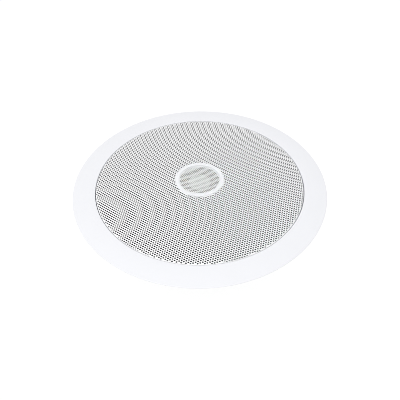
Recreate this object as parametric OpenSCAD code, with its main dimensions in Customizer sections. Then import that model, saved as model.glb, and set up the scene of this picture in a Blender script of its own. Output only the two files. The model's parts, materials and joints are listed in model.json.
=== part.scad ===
// In-ceiling speaker with a woofer, a bridged tweeter and swing-out clamps.
// Origin: centre of the face that meets the ceiling. +Z points into the room.
// Everything below z = 0 goes through the hole in the ceiling.

/* [Woofer] */
// Outside diameter of the woofer basket
woofer_d = 166; // [160:1:176]
// Thickness of the pressed steel basket
basket_t = 1.2; // [1:0.1:1.4]
// Width of the basket's flat rim
basket_rim_w = 10.6; // [10.2:0.1:11.4]
// Depth from the basket's rim to the spider seat
spider_depth = 30.2; // [29:0.2:33]
// Depth from the spider seat to the bottom of the basket
basket_foot_h = 9; // [8:0.5:11]
// Diameter of the basket's foot
basket_foot_d = 84.4; // [82:0.4:92]
// Width of the spider seat
spider_seat_w = 8.4; // [7:0.2:10]
// Number of windows in the basket
window_count = 6; // [4:2:6]
// Width of each basket spoke, as an angle
spoke_angle = 20; // [16:1:24]
// Width of the foam roll
roll_w = 9.7; // [9:0.1:10.4]
// Thickness of the foam roll
roll_t = 0.5; // [0.4:0.1:0.7]
// Width of the gasket
gasket_w = 2.8; // [2:0.1:3]
// Thickness of the gasket
gasket_t = 2; // [1.5:0.1:2.5]
// Thickness of the cone
cone_t = 0.6; // [0.4:0.1:1]
// Depth of the cone
cone_depth = 20.4; // [18:0.2:21]
// Diameter of the dust cap
cap_d = 38; // [34:1:44]
// Height of the dust cap
cap_h = 6; // [4:0.5:8]
// Outside diameter of the coil former
former_d = 26.2; // [25:0.2:27]
// Wall of the coil former
former_t = 0.3; // [0.2:0.1:0.4]
// Thickness of the winding on the former
coil_t = 0.7; // [0.5:0.1:0.8]
// Height of the winding
coil_h = 8; // [7:0.5:9]
// Thickness of the spider
spider_t = 0.5; // [0.4:0.1:0.7]
// Height of the spider's waves
spider_wave = 1.2; // [0.8:0.1:1.4]

/* [Woofer magnet] */
// Diameter of the top plate and the back plate
plate_d = 80; // [76:1:84]
// Thickness of the top plate
top_plate_t = 6; // [5:0.5:7]
// Diameter of the ferrite ring
ferrite_d = 85; // [82:1:90]
// Height of the ferrite ring
ferrite_h = 16; // [14:0.5:18]
// Diameter of the hole in the ferrite ring
ferrite_hole_d = 44; // [40:1:48]
// Thickness of the back plate
back_plate_t = 6; // [5:0.5:7]
// Diameter of the vent through the pole
vent_d = 8; // [6:0.5:10]
// Gap between the pole and the former, and between the coil and the top plate
coil_gap = 0.5; // [0.4:0.05:0.6]

/* [Mounting frame] */
// Width of the flange outside the barrel
flange_w = 18; // [16:0.5:22]
// Thickness of the flange at its round outer edge
flange_edge_t = 1.8; // [1.4:0.1:2.4]
// Height of the flange beside the grille
flange_rise = 5.6; // [5:0.1:6.6]
// Wall of the barrel
barrel_wall = 2.5; // [2:0.1:3]
// Depth of the barrel behind the ceiling face
barrel_depth = 20; // [18:0.5:22]
// Wall of the well around the woofer
well_wall = 2.2; // [1.8:0.1:2.6]
// Height of the ledge above the ceiling face
ledge_z = 0.6; // [0.2:0.1:0.9]
// Thickness of the ledge
ledge_t = 3; // [2.6:0.1:3.6]
// Depth of the woofer seat below the ceiling face
baffle_depth = 10; // [9.5:0.5:12]
// Thickness of the woofer seat
baffle_t = 3; // [2.5:0.1:4]
// Thickness of the stiffening ribs
rib_t = 2; // [1.5:0.1:2.5]
// Height of the stiffening ribs
rib_h = 14; // [10:0.5:15]

/* [Grille] */
// Distance from the outside of the barrel to the edge of the grille
grille_inset = 3.9; // [3.6:0.1:4.4]
// Thickness of the steel sheet
grille_t = 0.8; // [0.6:0.05:1]
// Height of the grille edge above the flange
grille_proud = 0.4; // [0:0.1:1]
// Rise of the dome from its edge to its middle
dome_rise = 8.25; // [6.5:0.25:9]
// Outer radius of the rolled edge
edge_roll = 1.6; // [1.2:0.1:2]
// Height of the skirt in the groove
skirt_h = 6.4; // [5.8:0.1:7]
// Diameter of the round holes
grille_hole_d = 8; // [6:0.5:10]
// Number of rings of holes
hole_rings = 5; // [3:1:5]
// Plain border between the outer holes and the edge
grille_border = 5.6; // [5:0.1:7]
// Thickness of the dark cloth behind the grille
cloth_t = 0.3; // [0.2:0.05:0.4]

/* [Centre ring] */
// Outside diameter of the ring
ring_d = 45.6; // [44:0.4:50]
// Width of the ring around the mesh
ring_band_w = 3.5; // [3.3:0.1:4.2]
// Height of the ring above the grille
ring_h = 1.2; // [1:0.1:2]
// Radius of the ring's upper edges
ring_round = 0.6; // [0.4:0.1:0.7]
// Thickness of the fine mesh
mesh_t = 0.5; // [0.4:0.1:0.6]
// Diameter of the mesh holes
mesh_hole_d = 2.4; // [1.8:0.1:2.8]
// Distance between the mesh holes
mesh_pitch = 3.7; // [3.2:0.1:4.2]
// Height of the retainer under the mesh
retainer_h = 1.2; // [1:0.1:1.3]

/* [Tweeter] */
// Distance from the ring's bore to the edge of the face plate
face_inset = 0.7; // [0.5:0.1:1.2]
// Thickness of the face plate
face_t = 2; // [1.6:0.1:2.2]
// Diameter of the dome
tweeter_dome_d = 20; // [18:1:21]
// Height of the dome
tweeter_dome_h = 3; // [2.4:0.1:3.6]
// Thickness of the dome
tweeter_dome_t = 0.4; // [0.3:0.1:0.5]
// Wall of the steel cup
cup_wall = 2.4; // [2:0.1:3]
// Depth of the steel cup
cup_h = 8; // [7.5:0.5:9]
// Height of the tweeter magnet
tweeter_magnet_h = 3; // [2.5:0.5:3.5]

/* [Tweeter bridge] */
// Width of the arms
arm_w = 14; // [12:0.5:18]
// Thickness of the arms
arm_t = 3.5; // [3.2:0.1:3.9]
// Height of the hub
hub_h = 9.5; // [8.5:0.25:9.5]
// Width of the feet
foot_w = 26; // [25:0.5:30]
// Thickness of the feet
foot_t = 2; // [1.6:0.1:2.2]
// Width of the groove for the leads
lead_groove_w = 5; // [4.6:0.1:6]

/* [Clamps] */
// Diameter of the clamp's boss and width of its arm
clamp_w = 10.4; // [9:0.2:11]
// Length of the clamp from the screw to its tip
clamp_l = 22; // [20:0.5:23]
// Height of the clamp
clamp_h = 7; // [6:0.5:7]
// Height of the gripping ridge on the clamp
grip_h = 1; // [0.5:0.1:1.5]
// Depth of the parked clamp's foot below the ceiling face
clamp_park = 27; // [27:0.5:30]
// Travel of the clamp along its screw
clamp_travel = 12; // [10:0.5:12]
// Diameter of the clamp screw
clamp_screw_d = 4.2; // [3.8:0.1:4.6]
// Diameter of the clamp screw's head
clamp_head_d = 7.2; // [6.6:0.1:7.4]

/* [Crossover] */
// Width of the circuit board
board_w = 60; // [58:1:66]
// Height of the circuit board
board_h = 38; // [38:0.5:42]
// Thickness of the circuit board
board_t = 1.6; // [1.2:0.1:2]
// Thickness of the bracket's sheet
bracket_t = 1.2; // [1:0.1:1.6]
// Height of the spacers behind the board
spacer_h = 3; // [2:0.5:4]
// Diameter of the inductor
inductor_d = 21; // [18:0.5:21.5]
// Height of the inductor
inductor_h = 12; // [10:0.5:13]
// Diameter of the large capacitor
big_cap_d = 10.4; // [8:0.2:11]
// Diameter of the small capacitor
small_cap_d = 8.4; // [7:0.2:9]
// Width of the terminal block
block_w = 28; // [27:0.5:29]
// Height of the terminal block
block_h = 14.5; // [14.5:0.5:15.5]
// Depth of the terminal block
block_d = 14; // [13.5:0.5:15]
// Width of a terminal lever
lever_w = 10; // [9:0.1:10]
// Length of a terminal lever from its pivot
lever_l = 8; // [7:0.1:8]
// Angle of a resting terminal lever
lever_rest_angle = 30; // [28:1:34]

/* [Screws and leads] */
// Diameter of the small screws
screw_d = 2.8; // [2.6:0.1:3.2]
// Diameter of the small screws' heads
screw_head_d = 5.2; // [4.8:0.1:5.4]
// Height of the small screws' heads
screw_head_h = 1.6; // [1.2:0.1:1.8]
// Diameter of the insulated leads
lead_d = 1.4; // [1.2:0.1:1.6]
// Diameter of the braided tinsel leads
tinsel_d = 0.8; // [0.6:0.1:1]

/* [Clearances] */
// Gap around the woofer in its well
well_gap = 0.6; // [0.4:0.1:1]
// Gap between the clamp's boss and the well
clamp_gap = 1.3; // [1:0.1:2]
// Gap between the parked clamp and the barrel
channel_gap = 2; // [1.5:0.1:3]
// Gap outside the grille's skirt
groove_gap = 0.5; // [0.4:0.1:0.9]
// Gap inside the grille's skirt
groove_slack = 0.9; // [0.6:0.1:1.2]
// Gap around small pieces that fit in each other
fit_gap = 0.3; // [0.2:0.05:0.4]
// Gap around a screw in its hole
screw_gap = 0.1; // [0.05:0.05:0.2]

/* [Hidden] */
$fn = 96;
eps = 0.01;
bite = 0.5;

// Radii, from the woofer outwards
woofer_r = woofer_d / 2;
well_r = woofer_r + well_gap;
well_out = well_r + well_wall;
clamp_r = well_out + clamp_gap + clamp_w / 2;
barrel_in = clamp_r + clamp_w / 2 + channel_gap;
barrel_r = barrel_in + barrel_wall;
flange_r = barrel_r + flange_w;
grille_r = barrel_r - grille_inset;
groove_out = grille_r + groove_gap;
groove_in = grille_r - grille_t - groove_slack;
basket_neck_r = woofer_r - basket_rim_w;
lip_r = basket_neck_r + well_gap;

// Heights of the frame, ledge and grille
ledge_bottom = ledge_z - ledge_t;
grille_edge_z = flange_rise + grille_proud;
groove_z = grille_edge_z - skirt_h;
baffle_bottom = -baffle_depth - baffle_t;
lip_round = 0.4;
flange_crown = 1.6;
nose_r = flange_edge_t / 2;

// Heights of the woofer
rim_top = -baffle_depth + basket_t;
gasket_z = rim_top + roll_t;
seat_z = -baffle_depth + basket_t - spider_depth;
foot_z = seat_z - basket_foot_h;
plate_bottom = foot_z - top_plate_t;
ferrite_bottom = plate_bottom - ferrite_h;
yoke_bottom = ferrite_bottom - back_plate_t;

// Radii of the woofer's moving parts
gasket_in = basket_neck_r + basket_t + 0.8;
roll_out = gasket_in;
roll_in = roll_out - roll_w;
cone_r = roll_in - fit_gap;
former_r = former_d / 2;
pole_r = former_r - former_t - coil_gap;
coil_r = former_r + coil_t;
plate_hole_r = coil_r + coil_gap;
cone_land = 4;
cone_curve = 0.8;
neck_z = rim_top - cone_depth;
coil_z = (foot_z + plate_bottom) / 2;
woofer_screw_r = woofer_r - 0.2 - screw_head_d / 2;

// Shell of the grille's dome
dome_edge_r = grille_r - edge_roll;
apex_z = grille_edge_z + dome_rise;
dome_R = (dome_edge_r * dome_edge_r + dome_rise * dome_rise) / (2 * dome_rise);
dome_cz = apex_z - dome_R;
roll_cz = dome_cz + sqrt(pow(dome_R - edge_roll, 2) - dome_edge_r * dome_edge_r);
roll_angle = atan2(roll_cz - dome_cz, dome_edge_r);
first_hole_r = ring_d / 2 + 9;
last_hole_r = grille_r - grille_border - grille_hole_d / 2;
hole_step = (last_hole_r - first_hole_r) / (hole_rings - 1);

// Centre ring, which stands in the grille's middle hole
ring_bore_r = ring_d / 2 - ring_band_w;
spigot_wall = 1.5;
spigot_in = ring_bore_r + 1;
spigot_r = spigot_in + spigot_wall;
grille_bore_r = spigot_r + 0.2;
ring_z = dome_z(grille_bore_r) + 0.02;
ring_top = ring_z + ring_h;
mesh_top = ring_top - ring_round - 0.2;
mesh_bottom = mesh_top - mesh_t;
mesh_r = spigot_in - fit_gap;
retainer_bottom = mesh_bottom - retainer_h;
barb_out = 0.7;
barb_h = 0.9;
barb_top = ring_z - grille_t - 0.12;
spigot_end = barb_top - barb_h - 0.25;

// Tweeter
hub_top = ledge_z + hub_h;
face_top = hub_top + face_t;
face_r = ring_bore_r - face_inset;
dome_r = tweeter_dome_d / 2;
dome_flange = 2.6;
face_hole_r = dome_r + 0.6;
cup_top = hub_top - tweeter_dome_t;
cup_bottom = cup_top - cup_h;
cup_floor_t = 2;
cup_in = dome_r + 0.5;
cup_r = cup_in + cup_wall;
pole_disc_r = dome_r - 0.9;
pole_disc_t = 2;
tweeter_magnet_r = pole_disc_r - 0.1;
hub_bore_r = cup_r + fit_gap;
hub_r = face_r + 2;
arm_top = ledge_z + arm_t;
foot_top = ledge_z + foot_t;
foot_out = groove_in - 0.8;
foot_in = well_r + 1.4;
foot_mid = (foot_in + foot_out) / 2;
foot_screw_x = foot_w / 2 - screw_head_d / 2 - 1.3;
lead_hole_r = lead_groove_w / 2 + 0.1;
groove_floor = ledge_z + 1.3;

// Clamps
clamp_count = 4;
clamp_angle = 45;
clamp_foot_z = -clamp_park;
clamp_top_z = clamp_foot_z + clamp_h;
stop_z = clamp_top_z + grip_h + clamp_travel + 0.5;
clamp_screw_r = clamp_screw_d / 2;
head_seat = ledge_z - 1.2;
clamp_head_h = 2.4;
collar_h = 1.4;
collar_r = clamp_screw_r + 1.1;
window_top = -6.5;

// Crossover, which hangs under the woofer seat at +Y
bracket_y = lip_r + 1.5;
board_y = bracket_y + bracket_t + spacer_h;
board_face = board_y + board_t;
board_top = baffle_bottom - 9;
board_bottom = board_top - board_h;
board_mid = (board_top + board_bottom) / 2;
bracket_border = 2;
bracket_foot_inset = 8;
bracket_screw_back = 5;
bracket_hole_border = 5;
bracket_w = board_w + 2 * bracket_border;
bracket_foot_w = board_w - 2 * bracket_foot_inset;
bracket_foot_l = 2 * bracket_screw_back;
bracket_screw_x = bracket_foot_w / 2 - bracket_foot_inset;
bracket_screw_y = bracket_y + bracket_screw_back;
bracket_hole_d = board_h / 2 - bracket_hole_border;
board_screw_x = board_w / 2 - 3;
board_screw_dz = board_h / 2 - 3.5;
inductor_gap = 0.9;
inductor_x = screw_head_d / 2 + inductor_gap + inductor_d / 2 - board_screw_x;
inductor_z = board_top - 0.5 - inductor_d / 2;
cap_gap = 4;
cap_end_gap = 1.9;
cap_x = inductor_x + inductor_d / 2 + cap_gap;
cap_l = board_screw_x - screw_head_d / 2 - cap_end_gap - cap_x;
big_cap_z = board_top - 0.8 - big_cap_d / 2;
small_cap_z = big_cap_z - big_cap_d / 2 - 0.6 - small_cap_d / 2;
block_bottom = board_bottom;
block_top = block_bottom + block_h;
block_front = board_face + block_d;
resistor_gap = 1.6;
resistor_x = block_w / 2 + resistor_gap;
resistor_w = board_screw_x - screw_head_d / 2 - resistor_gap - resistor_x;
resistor_h = 16;
resistor_d = 6;
lever_gap = 0.2;
lever_x = 1.55 + lever_gap + lever_w / 2;
lever_t = 2.4;
lever_boss_r = 1.9;
trunnion_r = 1.1;
trunnion_l = 1.3;
pivot_y = block_front - 3.3;
pivot_z = block_top - 4.1;
slot_back = block_front - 10;
slot_bottom = block_bottom + 1.5;
slot_top = block_top - 1.5;
spring_t = 0.6;

// Tag strip on the basket's foot
tag_y = basket_foot_d / 2 + 0.2;
tag_t = 1.2;
tag_x = 5;
tag_z = foot_z + 1;
tag_h = 6;

// Routes of the leads, point by point
tweeter_route = [
    [1.2, 14, 2.7], [1.2, 24, 2.7], [1.2, 40, 2.7], [1.2, 56, 2.7], [1.2, 72, 2.7],
    [1.2, 86, 2.7], [1.2, 88.4, 2.6], [1.2, 90, 1.2], [1.2, 90.5, -1.4], [1.2, 90.5, -8],
    [1.2, 90.2, -13], [1.4, 88, -17], [1.7, 84, -19.4], [2, 80.9, -20],
    [2, 79.5, -20.8], [2, 79.5, -21.8]
];
woofer_route = [
    [6, 79.5, -60.2], [6, 79.3, -62], [6, 77.4, -64.6], [6, 73, -66], [6, tag_y + 23.6, -65],
    [6, tag_y + 16.6, -60.5], [5.6, tag_y + 10.6, -54.5], [5.2, tag_y + 6.6, -49.5],
    [5, tag_y + 4, -46.4], [5, tag_y + 2.4, -44.6]
];
tinsel_route = [
    [6, tag_y + 1.9, -42], [8, tag_y + 4.6, -42.2], [10.8, tag_y + 8, -41.6],
    [12.6, tag_y + 10.6, -39.4], [13.2, tag_y + 11.4, -37], [12.6, tag_y + 9.2, -34.9],
    [10.6, tag_y + 1.6, -34.2], [8.2, 35, -34.2],
    [5.6, 25, -34.4], [3.2, 16.4, -34.6], [2.6, 13.9, -34.6]
];

// Height of the outside of the grille at radius r
function dome_z(r) = dome_cz + sqrt(dome_R * dome_R - r * r);

// Height of the top of the cone at radius r
function cone_z(r) =
    neck_z + (rim_top - neck_z) * pow((r - former_r) / (cone_r - cone_land - former_r), cone_curve);

// Points on an arc, in the plane
function arc(cx, cy, r, a0, a1, steps) =
    [for (i = [0:steps]) let (a = a0 + (a1 - a0) * i / steps) [cx + r * cos(a), cy + r * sin(a)]];

// Round tube about Z
module tube(r_out, r_in, z0, z1) {
    translate([0, 0, z0])
        difference() {
            cylinder(r = r_out, h = z1 - z0);
            translate([0, 0, -eps]) cylinder(r = r_in, h = z1 - z0 + 2 * eps);
        }
}

// Upright rod about Z
module rod(r, z0, z1) {
    translate([0, 0, z0]) cylinder(r = r, h = z1 - z0);
}

// Children at a radius and an angle, with local X outwards
module polar(a, r) {
    rotate([0, 0, a]) translate([r, 0, 0]) children();
}

// Children turned so that their local Z points along +Y
module along_y() {
    rotate([-90, 0, 0]) children();
}

// Box between two corners
module block(a, b) {
    translate(a) cube(b - a);
}

// Pan head screw with its head's seat at z = 0 and its shank along -Z
module small_screw(length) {
    translate([0, 0, -length]) cylinder(d = screw_d, h = length + bite);
    difference() {
        cylinder(d = screw_head_d, h = screw_head_h);
        for (a = [0, 90])
            rotate([0, 0, a])
                block([-screw_head_d / 3, -0.3, screw_head_h / 2],
                      [screw_head_d / 3, 0.3, screw_head_h + 1]);
    }
}

// Unit vector
function unit(v) = v / norm(v);

// Direction of a route at point i
function heading(p, i) =
    unit(p[min(i + 1, len(p) - 1)] - p[max(i - 1, 0)]);

// Side direction of a route that never runs straight along X
function side_of(t) = unit(cross(t, [1, 0, 0]));

// Round lead swept along the points of a route
module lead(p, d, sides) {
    rings = len(p);
    points = [
        for (i = [0:rings - 1])
            let (t = heading(p, i), s = side_of(t), u = cross(t, s))
                for (k = [0:sides - 1])
                    p[i] + d / 2 * (cos(360 * k / sides) * s + sin(360 * k / sides) * u)
    ];
    walls = [
        for (i = [0:rings - 2])
            for (k = [0:sides - 1])
                let (n = (k + 1) % sides)
                    each [
                        [i * sides + k, (i + 1) * sides + k, (i + 1) * sides + n],
                        [i * sides + k, (i + 1) * sides + n, i * sides + n]
                    ]
    ];
    first = [for (k = [0:sides - 1]) k];
    last = [for (k = [sides - 1:-1:0]) (rings - 1) * sides + k];
    polyhedron(points = points, faces = concat(walls, [first], [last]));
}

// A route and its mirror image
module lead_pair(p, d) {
    lead(p, d, 8);
    mirror([1, 0, 0]) lead(p, d, 8);
}

// The mounting frame is one moulding. It is drawn as four nodes that meet face to face:
// flange with ledge, barrel, well with the woofer seat, and ribs with the screw bosses.

// Section of the ledge, the grille's groove and the flange
function flange_section() = concat(
    [[well_r, ledge_bottom], [barrel_r, ledge_bottom], [barrel_r, 0]],
    arc(flange_r - nose_r, nose_r, nose_r, -90, 90, 8),
    [
        for (i = [1:9])
            let (s = i / 9, r = flange_r - nose_r - s * (flange_r - nose_r - groove_out - lip_round))
                [r, flange_edge_t + (flange_rise - flange_edge_t) * (1 - pow(1 - s, flange_crown))]
    ],
    arc(groove_out + lip_round, flange_rise - lip_round, lip_round, 110, 180, 3),
    [[groove_out, groove_z], [groove_in, groove_z], [groove_in, ledge_z], [well_r, ledge_z]]
);

// Bores for the clamp screws, through the ledge and the bosses under it
module clamp_screw_bores() {
    for (k = [0:clamp_count - 1])
        polar(clamp_angle + 90 * k, clamp_r)
            rod(clamp_screw_r + screw_gap, stop_z - 1, ledge_z + 1);
}

module mounting_frame() {
    color("white")
        difference() {
            rotate_extrude() polygon(flange_section());
            clamp_screw_bores();
            for (k = [0:clamp_count - 1])
                polar(clamp_angle + 90 * k, clamp_r)
                    rod(clamp_head_d / 2 + fit_gap, head_seat, ledge_z + 1);
            for (side = [0, 180])
                rotate([0, 0, side])
                    for (x = [-foot_screw_x, foot_screw_x])
                        translate([x, foot_mid, 0])
                            rod(screw_d / 2 + screw_gap, ledge_bottom - 1, ledge_z + 1);
            translate([0, foot_mid, 0]) rod(lead_hole_r, ledge_bottom - 1, ledge_z + 1);
        }
}

// Barrel with the windows that the clamps swing out through
module frame_barrel() {
    color("white")
        difference() {
            tube(barrel_r, barrel_in, -barrel_depth, ledge_bottom);
            for (k = [0:clamp_count - 1])
                polar(clamp_angle + 90 * k, clamp_r)
                    block([clamp_w / 2 - 1, -clamp_w / 2 - 1, -barrel_depth - 1],
                          [clamp_w / 2 + channel_gap + barrel_wall + 2, clamp_l + 1.5, window_top]);
        }
}

// Well around the woofer, with the seat that its rim is screwed to
module woofer_well() {
    color("white")
        difference() {
            rotate_extrude()
                polygon([
                    [lip_r, baffle_bottom], [well_out, baffle_bottom], [well_out, ledge_bottom],
                    [well_r, ledge_bottom], [well_r, -baffle_depth], [lip_r, -baffle_depth]
                ]);
            for (k = [0:3])
                polar(45 + 90 * k, woofer_screw_r)
                    rod(screw_d / 2 + screw_gap, baffle_bottom - 1, -baffle_depth + 1);
            for (x = [-bracket_screw_x, bracket_screw_x])
                translate([x, bracket_screw_y, 0])
                    rod(screw_d / 2 + screw_gap, baffle_bottom - 1, -baffle_depth - 0.4);
        }
}

// Ribs between the well and the barrel, and the bosses that stop the clamps
module frame_ribs() {
    color("white") {
        intersection() {
            tube(barrel_in, well_out, ledge_bottom - rib_h, ledge_bottom);
            for (q = [0:3], a = [25, 70])
                rotate([0, 0, 90 * q + a])
                    block([well_out - bite, -rib_t / 2, ledge_bottom - rib_h - 1],
                          [barrel_in + bite, rib_t / 2, ledge_bottom + 1]);
        }
        difference() {
            for (k = [0:clamp_count - 1])
                polar(clamp_angle + 90 * k, clamp_r)
                    rod(clamp_head_d / 2 + 0.6, stop_z, ledge_bottom);
            clamp_screw_bores();
        }
    }
}

// Radius of ring n of holes in the grille
function hole_ring_r(n) = first_hole_r + n * hole_step;

// Point on the dome at radius r, at depth t in the sheet
function dome_point(r, t) = [r, dome_cz + sqrt(pow(dome_R - t, 2) - r * r)];

// Section of the grille: skirt, rolled edge and dome in one sheet
function grille_section() =
    let (
        lines = [for (n = [-0.5:hole_rings - 0.5]) hole_ring_r(n)],
        spans = concat([grille_bore_r], lines)
    )
    concat(
        [for (r = spans) dome_point(r, 0)],
        arc(dome_edge_r, roll_cz, edge_roll, roll_angle, 0, 6),
        [[grille_r, groove_z], [grille_r - grille_t, groove_z]],
        arc(dome_edge_r, roll_cz, edge_roll - grille_t, 0, roll_angle, 6),
        [for (i = [len(spans) - 1:-1:0]) dome_point(spans[i], grille_t)]
    );

module grille() {
    color("whitesmoke")
        difference() {
            rotate_extrude() polygon(grille_section());
            for (n = [0:hole_rings - 1]) {
                count = 12 + 6 * n;
                for (i = [0:count - 1])
                    polar(360 * (i + n / 2) / count, hole_ring_r(n))
                        rod(grille_hole_d / 2, grille_edge_z - 2, apex_z + 1);
            }
        }
}

// Cloth glued to the back of the grille, between the middle hole and the rolled edge
module grille_cloth() {
    lines = [for (n = [-0.5:hole_rings - 0.5]) hole_ring_r(n)];
    color("#26272a")
        rotate_extrude()
            polygon(concat(
                [for (r = lines) dome_point(r, grille_t)],
                [for (i = [len(lines) - 1:-1:0]) dome_point(lines[i], grille_t + cloth_t)]
            ));
}

module centre_ring() {
    r_in = ring_bore_r;
    r_out = ring_d / 2;
    color("white")
        union() {
            rotate_extrude()
                polygon(concat(
                    [
                        [spigot_in, spigot_end], [spigot_r, spigot_end],
                        [spigot_r, ring_z], [r_out, ring_z]
                    ],
                    arc(r_out - ring_round, ring_top - ring_round, ring_round, 0, 90, 6),
                    arc(r_in + ring_round, ring_top - ring_round, ring_round, 90, 180, 6),
                    [[r_in, mesh_top], [spigot_in, mesh_top]]
                ));
            for (k = [0:3])
                rotate([0, 0, 45 + 90 * k])
                    block([spigot_r - bite, -3, barb_top - barb_h],
                          [spigot_r + barb_out, 3, barb_top]);
        }
}

module tweeter_mesh() {
    shells = floor((mesh_r - mesh_hole_d) / mesh_pitch);
    color("gainsboro")
        difference() {
            rod(mesh_r, mesh_bottom, mesh_top);
            for (q = [-shells:shells], s = [-shells:shells])
                if (abs(q + s) <= shells)
                    translate([mesh_pitch * (q + s / 2), mesh_pitch * s * sqrt(3) / 2, 0])
                        rod(mesh_hole_d / 2, mesh_bottom - 1, mesh_top + 1);
        }
}

module ring_retainer() {
    color("dimgray")
        tube(spigot_in - screw_gap, ring_bore_r - 0.7, retainer_bottom, mesh_bottom);
}

// One foot of the bridge, on the ledge at +Y
module bridge_foot() {
    difference() {
        union() {
            block([-foot_w / 2, foot_in, ledge_z], [foot_w / 2, foot_out - 1, foot_top]);
            block([-arm_w / 2, hub_r - 3, ledge_z], [arm_w / 2, foot_in + bite, arm_top]);
        }
        for (x = [-foot_screw_x, foot_screw_x])
            translate([x, foot_mid, 0])
                rod(screw_d / 2 + screw_gap, ledge_z - 1, foot_top + 1);
    }
}

module tweeter_bridge() {
    color("#202124")
        difference() {
            union() {
                bridge_foot();
                rotate([0, 0, 180]) bridge_foot();
                rod(hub_r, ledge_z, hub_top);
            }
            rod(hub_bore_r, ledge_z - 1, hub_top + 1);
            block([-lead_groove_w / 2, 0, groove_floor],
                  [lead_groove_w / 2, foot_mid, hub_top - 1.5]);
            translate([0, foot_mid, 0]) rod(lead_hole_r, ledge_z - 1, foot_top + 1);
        }
}

module bridge_screws() {
    color("silver")
        for (side = [0, 180])
            rotate([0, 0, side])
                for (x = [-foot_screw_x, foot_screw_x])
                    translate([x, foot_mid, foot_top]) small_screw(foot_t + ledge_t - 0.4);
}

module tweeter_face() {
    color("#2b2c2f")
        rotate_extrude()
            polygon([
                [face_hole_r, hub_top], [face_r, hub_top], [face_r, face_top - 0.4],
                [face_r - 0.4, face_top], [face_r - 2, face_top],
                [face_hole_r + 0.4, hub_top + 0.5], [face_hole_r, hub_top + 0.5]
            ]);
}

// Cap of a ball, as a shell with its outer edge at radius r and height z
module cap_section(r, z, h, t) {
    big = (r * r + h * h) / (2 * h);
    intersection() {
        translate([0, z + h - big])
            difference() {
                circle(r = big);
                circle(r = big - t);
            }
        translate([0, z]) square([r + 1, h + 1]);
    }
}

module tweeter_dome() {
    color("#c8c4b8")
        rotate_extrude() {
            cap_section(dome_r, cup_top + tweeter_dome_t - 0.1, tweeter_dome_h, tweeter_dome_t);
            translate([dome_r - 0.8, cup_top]) square([dome_flange + 0.8, tweeter_dome_t]);
        }
}

module tweeter_coil() {
    color("peru")
        tube(dome_r - 0.2, dome_r - 0.6, cup_top - 3.6, cup_top);
}

module tweeter_cup() {
    color("silver")
        difference() {
            rod(cup_r, cup_bottom, cup_top);
            rod(cup_in, cup_bottom + cup_floor_t, cup_top + 1);
        }
}

module tweeter_magnet() {
    z = cup_bottom + cup_floor_t;
    color("slategray") rod(tweeter_magnet_r, z, z + tweeter_magnet_h);
}

module tweeter_pole_disc() {
    z = cup_bottom + cup_floor_t + tweeter_magnet_h;
    color("lightgray") rod(pole_disc_r, z, z + pole_disc_t);
}

// The basket is one pressing, drawn as its rim and its bowl

// Holes for the screws that hold the rim on its seat
module rim_screw_holes() {
    for (k = [0:3])
        polar(45 + 90 * k, woofer_screw_r)
            rod(screw_d / 2 + screw_gap, -baffle_depth - 1, rim_top + 1);
}

module basket_rim() {
    color("#3a3b3e")
        difference() {
            tube(woofer_r, basket_neck_r, -baffle_depth, rim_top);
            rim_screw_holes();
        }
}

module woofer_basket() {
    t = basket_t;
    foot_r = basket_foot_d / 2;
    seat_r = foot_r + spider_seat_w;
    shoulder_z = -baffle_depth - 4;
    color("#3a3b3e")
        difference() {
            rotate_extrude()
                polygon([
                    [basket_neck_r, rim_top], [basket_neck_r, shoulder_z], [seat_r, seat_z - t],
                    [foot_r, seat_z - t], [foot_r, foot_z],
                    [plate_hole_r + 1, foot_z], [plate_hole_r + 1, foot_z + t],
                    [foot_r - t, foot_z + t], [foot_r - t, seat_z], [seat_r - t, seat_z],
                    [basket_neck_r - t, shoulder_z], [basket_neck_r - t, rim_top]
                ]);
            for (k = [0:window_count - 1])
                rotate([0, 0, 90 + 360 * k / window_count + spoke_angle / 2])
                    rotate_extrude(angle = 360 / window_count - spoke_angle)
                        translate([foot_r - 4, seat_z + 3])
                            square([woofer_r - foot_r + 4, shoulder_z - seat_z - 6]);
        }
}

module woofer_gasket() {
    color("#26272a") tube(gasket_in + gasket_w, gasket_in, gasket_z, gasket_z + gasket_t);
}

module woofer_surround() {
    r = roll_w / 2;
    mid = roll_out - r;
    color("#17181a")
        rotate_extrude() {
            intersection() {
                translate([mid, rim_top])
                    difference() {
                        circle(r = r);
                        circle(r = r - roll_t);
                    }
                translate([roll_in - 1, rim_top]) square([roll_w + 2, roll_w]);
            }
            translate([roll_out - roll_t, rim_top]) square([gasket_w + roll_t, roll_t]);
        }
}

module woofer_cone() {
    steps = 12;
    inner = cone_r - cone_land;
    top = [
        for (i = [0:steps])
            let (r = former_r + 0.2 + (inner - former_r - 0.2) * i / steps) [r, cone_z(r)]
    ];
    bottom = [for (i = [steps:-1:0]) [top[i][0] + (i == steps ? 0.2 : 0), top[i][1] - cone_t]];
    color("#5c5e62")
        rotate_extrude()
            polygon(concat(top, [[cone_r, rim_top], [cone_r, rim_top - cone_t]], bottom));
}

module dust_cap() {
    r = cap_d / 2;
    color("#4b4d50") rotate_extrude() cap_section(r, cone_z(r) + 0.1, cap_h, 0.5);
}

// Height of the middle of the spider at radius r
function spider_z(r, r0, r1) =
    seat_z + spider_t / 2 + spider_wave * sin(360 * 4 * (r - r0) / (r1 - r0));

module woofer_spider() {
    steps = 48;
    r0 = former_r + fit_gap;
    r1 = basket_foot_d / 2 - basket_t - fit_gap;
    land_r = basket_foot_d / 2 + spider_seat_w - basket_t - 0.4;
    run = [for (i = [0:steps]) r0 + (r1 - r0) * i / steps];
    top = [for (r = run) [r, spider_z(r, r0, r1) + spider_t / 2]];
    bottom = [for (i = [steps:-1:0]) [run[i], spider_z(run[i], r0, r1) - spider_t / 2]];
    color("#c9a04e")
        rotate_extrude()
            polygon(concat(top, [[land_r, seat_z + spider_t], [land_r, seat_z]], bottom));
}

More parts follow.
